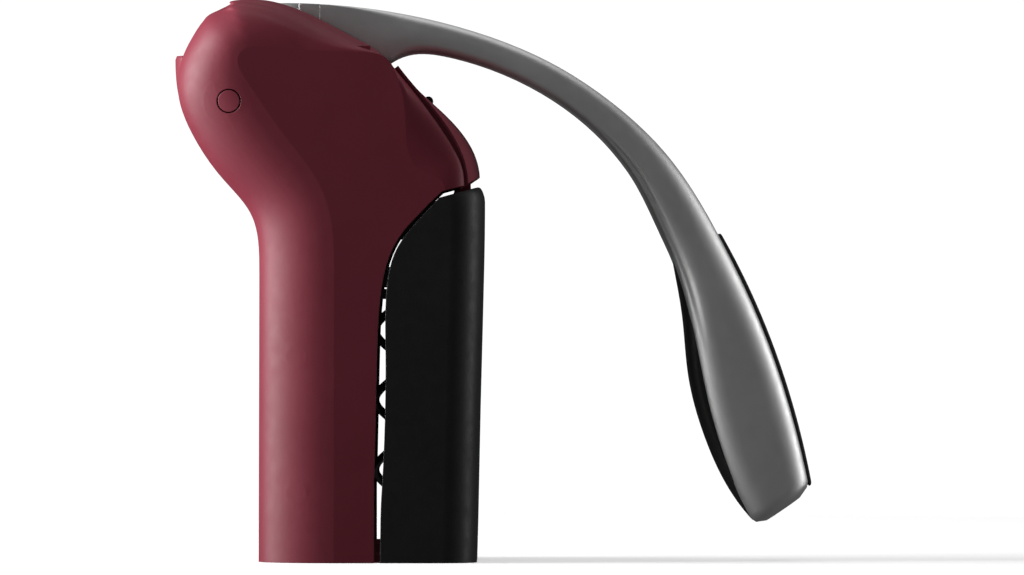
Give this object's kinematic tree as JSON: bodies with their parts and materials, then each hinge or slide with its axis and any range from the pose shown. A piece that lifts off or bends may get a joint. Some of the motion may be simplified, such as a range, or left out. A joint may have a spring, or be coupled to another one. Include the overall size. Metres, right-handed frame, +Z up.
{
  "type": "lever corkscrew",
  "caption": "Upright lever corkscrew: a body with a worm inside, a squeeze grip that holds the bottle's neck, and a curved lever over the top.",
  "frame": {"origin": "where the worm's axis meets the surface that the opener stands on", "axes": "+X towards the lever and grip, +Y to the opener's left side, +Z up along the worm's axis"},
  "size_m": [0.188, 0.054, 0.1655],
  "materials": {
    "body": "satin maroon",
    "lever": "satin cast",
    "grip": "matte black",
    "pad": "soft matte",
    "rubber": "matte",
    "inner_plastic": "moulded",
    "carriage_plastic": "glass-filled nylon",
    "nylon": "natural",
    "steel": "ground",
    "bronze": "sintered",
    "worm_coating": "non-stick coated steel"
  },
  "bodies": {
    "housing": {"right_body_shell": "body", "left_body_shell": "body", "front_spine": "body", "right_pivot_cap": "body", "left_pivot_cap": "body", "spine_bumper": "rubber", "pivot_pin": "steel", "pivot_washers": "nylon", "shell_screws": "steel", "guide_rods": "steel", "worm_nut": "carriage_plastic", "rear_neck_jaw": "inner_plastic", "rear_neck_pad": "rubber"},
    "lever": {"lever_arm": "lever", "crank_pin": "steel", "yoke_roller": "nylon", "lever_inner_pad": "pad", "lever_outer_pad": "pad"},
    "carriage": {"worm_carriage": "carriage_plastic", "rod_bushes": "bronze"},
    "worm": {"worm": "worm_coating", "worm_retainer": "steel"},
    "grip": {"grip_shell": "grip", "front_neck_jaw": "inner_plastic", "front_neck_pad": "rubber", "grip_hinge_pin": "steel", "grip_spring": "steel"}
  },
  "joints": [
    {"name": "lever_swing", "type": "hinge", "parent": "housing", "child": "lever", "pos_m": [-0.0462, 0, 0.1353], "axis": [0, -1, 0], "range_deg": [0, 104]},
    {"name": "carriage_lift", "type": "slide", "parent": "housing", "child": "carriage", "axis": [0, 0, 1], "range_m": [0, 0.0461]},
    {"name": "worm_spin", "type": "hinge", "parent": "carriage", "child": "worm", "pos_m": [0, 0, 0.083], "axis": [0, 0, 1], "range_deg": [0, 804.9]},
    {"name": "grip_squeeze", "type": "hinge", "parent": "housing", "child": "grip", "pos_m": [0.0214, 0, 0.1026], "axis": [0, 1, 0], "range_deg": [0, 0.9], "stiffness_Nm_per_rad": 2, "springref_deg": -3.44, "deforming": ["grip_spring"]}
  ],
  "couplings": [
    {"joint": "carriage_lift", "follows": "lever_swing", "m_per_rad": 0.025342},
    {"joint": "worm_spin", "follows": "lever_swing", "ratio": 7.7297}
  ]
}
